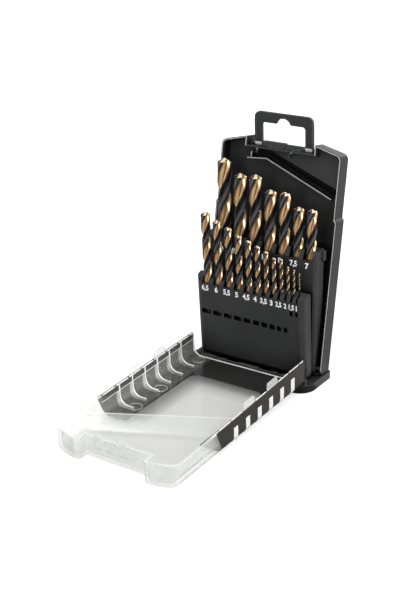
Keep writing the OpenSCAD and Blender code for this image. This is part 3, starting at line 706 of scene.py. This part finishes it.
# ------------------------------------------------------------------ housings
SHELL = [M_SHELL, M_SHELL_EDGE_HIGHLIGHT]
HOLD = [M_HOLD, M_HOLD_EDGE_HIGHLIGHT]
softened("back_shell", "tray", "base", SHELL, 0.30, 3)
softened("foot_plate", "foot", "base", SHELL, 0.5, 3)
softened("catch_plate", "catch", "base", [M_CATCH, M_CATCH_EDGE_HIGHLIGHT], 0.20, 2)
softened("hanger", "hanger_loop", "hanger", SHELL, 0.35, 3)
softened("rear_holder", "rear_block", "rear_tier", HOLD, 0.3, 3)
softened("front_holder", "front_block", "front_tier", HOLD, 0.3, 3)
softened("lid_grip", "grip", "lid", [M_GRIP, M_GRIP_EDGE_HIGHLIGHT], 0.14, 2)
softened("lid_shell", "lid_clear", "lid", [M_LID, M_LIP_HIGHLIGHT], 0.12, 2, dissolve=0)


# ------------------------------------------------------------------ the lid's ribs and lips
def lid_floor_z(y):
    return LID_RIM - 18.5 - (y + 2.8) * math.tan(math.radians(LID_SLOPE))


def wrap(side, off, y, x_end, drop, n=8):
    """Points of the lid's section at one side, off inwards, from drop under the rim round to x_end."""
    zf = lid_floor_z(y)
    c = 5 if off < 1.2 else 8
    pts = [(side * (45 - off), LID_RIM - drop), (side * (45 - off), zf + c)]
    for k in range(1, n + 1):
        a = math.radians(90 * k / n)
        pts.append((side * (45 - c + (c - off) * math.cos(a)), zf + c - (c - off) * math.sin(a)))
    pts.append((side * (x_end + 1.2), zf + off))
    pts.append((side * (x_end + 0.35), zf + off))
    pts.append((side * x_end, zf + off))
    return pts


def wrapped_bar(bm, side, y0, y1, o0, o1, x_end, drop, round_end=True, mat=0):
    a, b = wrap(side, o0, (y0 + y1) / 2, x_end, drop), wrap(side, o1, (y0 + y1) / 2, x_end, drop)
    yc, hw = (y0 + y1) / 2, (y1 - y0) / 2
    rings = []
    n = len(a)
    for i, ((xa, za), (xb, zb)) in enumerate(zip(a, b)):
        k = 1.0
        if round_end and i == n - 2:
            k = 0.8
        if round_end and i == n - 1:
            k = 0.42
        rings.append([(xa, yc - hw * k, za), (xa, yc + hw * k, za), (xb, yc + hw * k * 0.86, zb), (xb, yc - hw * k * 0.86, zb)])
    loft(bm, rings, mat=mat)


for side, tag in ((-1, "left"), (1, "right")):
    pads, lines, ribs, seams = bmesh.new(), bmesh.new(), bmesh.new(), bmesh.new()
    for y in RIB_Y:
        wrapped_bar(pads, side, y - 2.2, y + 2.2, 0.02, -0.14, 33.2, 5.5)
        for k in (-1, 1):
            wrapped_bar(lines, side, y + k * 1.75 - 0.32, y + k * 1.75 + 0.32, 0.0, -0.30, 33.6, 5.6)
        wrapped_bar(ribs, side, y - 0.55, y + 0.55, 1.56, 1.90, 33.0, 0.05)
        wrapped_bar(seams, side, y - 0.95, y - 0.60, 1.56, 1.85, 33.6, 5.5)
    make("rib_pads_" + tag, pads, "lid", [M_RIB], LID)
    make("rib_pad_lines_" + tag, lines, "lid", [M_LINE], LID)
    make("rib_bars_" + tag, ribs, "lid", [M_LINE], LID)
    make("rib_seams_" + tag, seams, "lid", [M_SEAM], LID)
    # ledge that runs between the ribs, a little under the rim
    bm = bmesh.new()
    edges_y = [-3.2] + RIB_Y + [-109.0]
    for a, b in zip(edges_y, edges_y[1:]):
        x0, x1 = sorted((side * 43.45, side * 43.18))
        box(bm, x0, x1, b + 0.7, a - 0.7, LID_RIM - 4.65, LID_RIM - 4.4)
    make("ledge_" + tag, bm, "lid", [M_LINE], LID)

# raised lip along the open hinge end, whitened as a painted highlight
bm = bmesh.new()
rings = []
for y, h in ((-2.85, 0.0), (-2.95, 0.32), (-3.75, 0.32), (-3.95, 0.0)):
    left = wrap(-1, 1.56 + h, -3.3, 0.0, 0.1)[:-3]
    right = wrap(1, 1.56 + h, -3.3, 0.0, 0.1)[:-3][::-1]
    rings.append([(x, y, z) for x, z in left + right])
cols = [list(c) for c in zip(*rings)]
loft(bm, cols)
make("hinge_end_lip_highlight", bm, "lid", [M_LIPBAR_HIGHLIGHT], LID)

# three moulded circles in the floor
bm = bmesh.new()
for cx, cy in ((-35.9, -9.3), (-33.7, -58.4), (-32.6, -87.8)):
    zf = lid_floor_z(cy) + 1.56
    prof = [(4.15, 0.0), (4.25, 0.24), (4.75, 0.24), (4.85, 0.0)]
    rings = []
    for k in range(40):
        a = 2 * math.pi * k / 40
        rings.append([(cx + r * math.cos(a), cy + r * math.sin(a), zf + h - (r * math.sin(a)) * math.tan(math.radians(LID_SLOPE))) for r, h in prof])
    vs = [[bm.verts.new(q) for q in r] for r in rings]
    for k in range(40):
        a, b = vs[k], vs[(k + 1) % 40]
        for i in range(4):
            bm.faces.new((a[i], a[(i + 1) % 4], b[(i + 1) % 4], b[i]))
make("moulded_circles", bm, "lid", [M_FAINT], LID)

# painted highlight: a bright strip along the front edge of the tip stop
bm = bmesh.new()
line = [(-26.1, 143.6), (-10.6, 144.8), (40.6, 124.4)]
low = [(-26.1, 142.85), (-10.8, 144.05), (40.3, 123.65)]
prism(bm, line + low[::-1], lambda u, v, h: (u, h, v), -8.56, -8.72)
prism(bm, [(-23.35, 144.2), (-22.45, 144.3), (-22.3, 147.2), (-21.6, 147.9), (-22.6, 148.0), (-23.35, 147.3)], lambda u, v, h: (u, h, v), -8.56, -8.72)
make("stop_edge_highlight", bm, "base", [M_TRIM_HIGHLIGHT], TRAY)

# painted shade: a near-black sheet on the bottom of the slot above the stop, where the slot lies in deep shadow
bm = bmesh.new()
prism(bm, [(-22.2, 144.0), (-22.2, 150.6), (-10.4, 150.6), (-6.2, 148.45), (44.4, 129.6), (44.4, 123.4), (-10.8, 145.3)], lambda u, v, h: (u, h, v), -1.64, -1.74)
prism(bm, [(-10.5, 144.95), (44.4, 123.1), (44.4, 124.9), (-10.5, 146.75)], lambda u, v, h: (u, h, v), -1.64, -3.86)
make("slot_shade_sheet", bm, "base", [M_SLOT_SHADE], TRAY)


def tray_line(o):
    """The tray's outline, o inwards, from the right foot round over the top to the left foot."""
    a, b, h, m = 47.0 - o, 45.7 - o, 154.0 - o, 158.2 - o
    c = 3 - o * 0.6
    half = [(a, 6.0), (a, 110.5 - o), (b, 111.8 - o), (b, h - c), (b - c * 0.35, h - c * 0.3), (b - c, h + 0.3), (25.8 + o, m), (25.8 + o, 152.2 - o)]
    return half, [(-x, z) for x, z in half[::-1]]


# painted highlight: a narrow light line round the face of the rim
bm = bmesh.new()
for i in (0, 1):
    a, b = tray_line(0.42)[i], tray_line(1.02)[i]
    loft(bm, [[(x0, -10.88, z0), (x0, -10.97, z0), (x1, -10.97, z1), (x1, -10.88, z1)] for (x0, z0), (x1, z1) in zip(a, b)])
make("rim_face_highlight", bm, "base", [M_RIM_HIGHLIGHT], TRAY)

# curled catches under the recess, coloured light as painted highlights, and the hanger's barrels, light grey as painted
# highlights
bm = bmesh.new()
for x0, z0 in ((-16.1, 149.9), (10.3, 150.6)):
    outer, inner = arc(x0, z0, 1.9, 95, 195, 9), arc(x0, z0, 1.35, 95, 195, 9)
    prism(bm, outer + inner[::-1], lambda u, v, h: (u, h, v), -8.9, -10.75)
make("catch_curls", bm, "base", [M_TRIM_HIGHLIGHT], TRAY)
HANG = TRAY @ Matrix.Translation((0, -4.9, 153.8)) @ rx(11)
# painted highlight: light grey skins over the hanger's barrels
bm = bmesh.new()
for a, b in ((-21.9, -16.7), (16.7, 21.9)):
    rings = []
    for x, r in ((a, 1.25), (a + 0.15, 1.56), (b - 0.15, 1.56), (b, 1.25)):
        rings.append([(x, r * math.cos(t * math.pi / 9 - 1.9), r * math.sin(t * math.pi / 9 - 1.9)) for t in range(18)])
    loft(bm, rings)
make("hanger_barrel_highlights", bm, "hanger", [M_BARREL_HIGHLIGHT], HANG)

for n, m in (("pivot_pins", M_PIN), ("hinge_rod", M_PIN), ("hanger_rod", M_WIRE)):
    NODES[n].data.materials.clear()
    NODES[n].data.materials.append(m)

# ------------------------------------------------------------------ stage
FLOOR_GLOW = 0.55
fm, nt, out = new_mat("stage_white")
lit = N(nt, "ShaderNodeBsdfDiffuse")
lit.inputs["Color"].default_value = (0.50, 0.50, 0.50, 1)
glow = N(nt, "ShaderNodeEmission")
rad = N(nt, "ShaderNodeVectorMath", operation="LENGTH")
nt.links.new(coords(nt), rad.inputs[0])
nt.links.new(maprange(nt, rad.outputs["Value"], 0.25, 1.6, FLOOR_GLOW, 1.0), glow.inputs["Strength"])
both = N(nt, "ShaderNodeAddShader")
nt.links.new(lit.outputs[0], both.inputs[0])
nt.links.new(glow.outputs[0], both.inputs[1])
seen = N(nt, "ShaderNodeLightPath")
pick = N(nt, "ShaderNodeMixShader")
nt.links.new(seen.outputs["Is Camera Ray"], pick.inputs["Fac"])
# what the object sees of the floor: little light from below, and cards round the table in reflections
bounce = N(nt, "ShaderNodeBsdfDiffuse")
bounce.inputs["Color"].default_value = (0.26, 0.26, 0.26, 1)
xyz = N(nt, "ShaderNodeSeparateXYZ")
nt.links.new(coords(nt), xyz.inputs[0])
around = maprange(nt, math_node(nt, "ARCTAN2", xyz.outputs[1], xyz.outputs[0]), -math.pi, math.pi, 0.0, 1.0)
cards = ramp(nt, around, [(0.0, 0.55), (0.10, 0.55), (0.14, 0.10), (0.30, 0.06), (0.36, 0.28), (0.42, 0.28), (0.45, 0.03), (0.495, 0.03), (0.51, 1.0), (0.575, 1.0), (0.60, 0.10), (0.63, 0.35), (0.72, 0.50), (0.80, 0.30), (1.0, 0.30)])
mirrored = N(nt, "ShaderNodeEmission")
nt.links.new(cards, mirrored.inputs["Color"])
mirrored.inputs["Strength"].default_value = 0.95
sort = N(nt, "ShaderNodeMixShader")
nt.links.new(seen.outputs["Is Glossy Ray"], sort.inputs["Fac"])
nt.links.new(bounce.outputs[0], sort.inputs[1])
nt.links.new(mirrored.outputs[0], sort.inputs[2])
nt.links.new(sort.outputs[0], pick.inputs[1])
nt.links.new(both.outputs[0], pick.inputs[2])
nt.links.new(pick.outputs[0], out.inputs["Surface"])
bm = bmesh.new()
bmesh.ops.create_grid(bm, x_segments=1, y_segments=1, size=14.0)
me = bpy.data.meshes.new("stage_floor")
bm.to_mesh(me)
bm.free()
me.materials.append(fm)
floor = bpy.data.objects.new("stage_floor", me)
floor.location = (0, 0, -0.0002)
bpy.context.scene.collection.objects.link(floor)

# ------------------------------------------------------------------ light
world = bpy.data.worlds.new("studio")
bpy.context.scene.world = world
world.use_nodes = True
nt = world.node_tree
for n in list(nt.nodes):
    nt.nodes.remove(n)
wo = N(nt, "ShaderNodeOutputWorld")
bg = N(nt, "ShaderNodeBackground")
cam_bg = N(nt, "ShaderNodeBackground")
cam_bg.inputs["Color"].default_value = (1, 1, 1, 1)
cam_bg.inputs["Strength"].default_value = 1.0
tc = N(nt, "ShaderNodeTexCoord")
dotn = N(nt, "ShaderNodeVectorMath", operation="DOT_PRODUCT")
nt.links.new(tc.outputs["Generated"], dotn.inputs[0])
dark_dir = Vector((-0.62, -0.72, 0.12)).normalized()
dotn.inputs[1].default_value = dark_dir
lvl = ramp(nt, dotn.outputs["Value"], [(0.0, 0.85), (0.35, 0.55), (0.8, 0.10), (1.0, 0.06)])
nt.links.new(lvl, bg.inputs["Color"])
lp = N(nt, "ShaderNodeLightPath")
nt.links.new(blend(nt, 0.9, 0.45, lp.outputs["Is Glossy Ray"]), bg.inputs["Strength"])
mx = N(nt, "ShaderNodeMixShader")
nt.links.new(lp.outputs["Is Camera Ray"], mx.inputs["Fac"])
nt.links.new(bg.outputs["Background"], mx.inputs[1])
nt.links.new(cam_bg.outputs["Background"], mx.inputs[2])
nt.links.new(mx.outputs["Shader"], wo.inputs["Surface"])


def area(name, loc, aim, size, power, size_y=None):
    li = bpy.data.lights.new(name, "AREA")
    li.shape = "RECTANGLE"
    li.size = size
    li.size_y = size_y or size
    li.energy = power
    ob = bpy.data.objects.new(name, li)
    ob.location = loc
    d = Vector(aim) - Vector(loc)
    ob.rotation_mode = "QUATERNION"
    ob.rotation_quaternion = d.to_track_quat("-Z", "Y")
    bpy.context.scene.collection.objects.link(ob)
    return ob


area("top_box", (0.05, -0.05, 1.25), (0, -0.03, 0.05), 1.1, 7.5, 1.1)
area("right_box", (1.15, 0.25, 0.65), (0, 0, 0.08), 0.7, 15, 0.9)
area("left_box", (-1.1, -0.15, 0.6), (0, 0, 0.08), 0.6, 6, 0.9)
area("back_box", (0.1, 1.25, 0.7), (0, 0, 0.1), 1.2, 3.5, 0.6)
area("front_box", (0.30, -1.5, 0.42), (0, 0, 0.09), 0.8, 15, 0.5)

# ------------------------------------------------------------------ camera
cam = bpy.data.cameras.new("photo_camera")
cam.lens = 67.17
cam.sensor_width = 36
cam.clip_start = 0.01
cam.clip_end = 60
co = bpy.data.objects.new("photo_camera", cam)
co.location = (0.3600, -0.6173, 0.3328)
aim = Vector((-0.0589, 0.016, 0.03498))
co.rotation_mode = "QUATERNION"
co.rotation_quaternion = (aim - co.location).to_track_quat("-Z", "Y")
bpy.context.scene.collection.objects.link(co)
bpy.context.scene.camera = co
bpy.context.scene.view_settings.view_transform = "Standard"
bpy.context.scene.view_settings.look = "None"

bpy.context.view_layer.update()
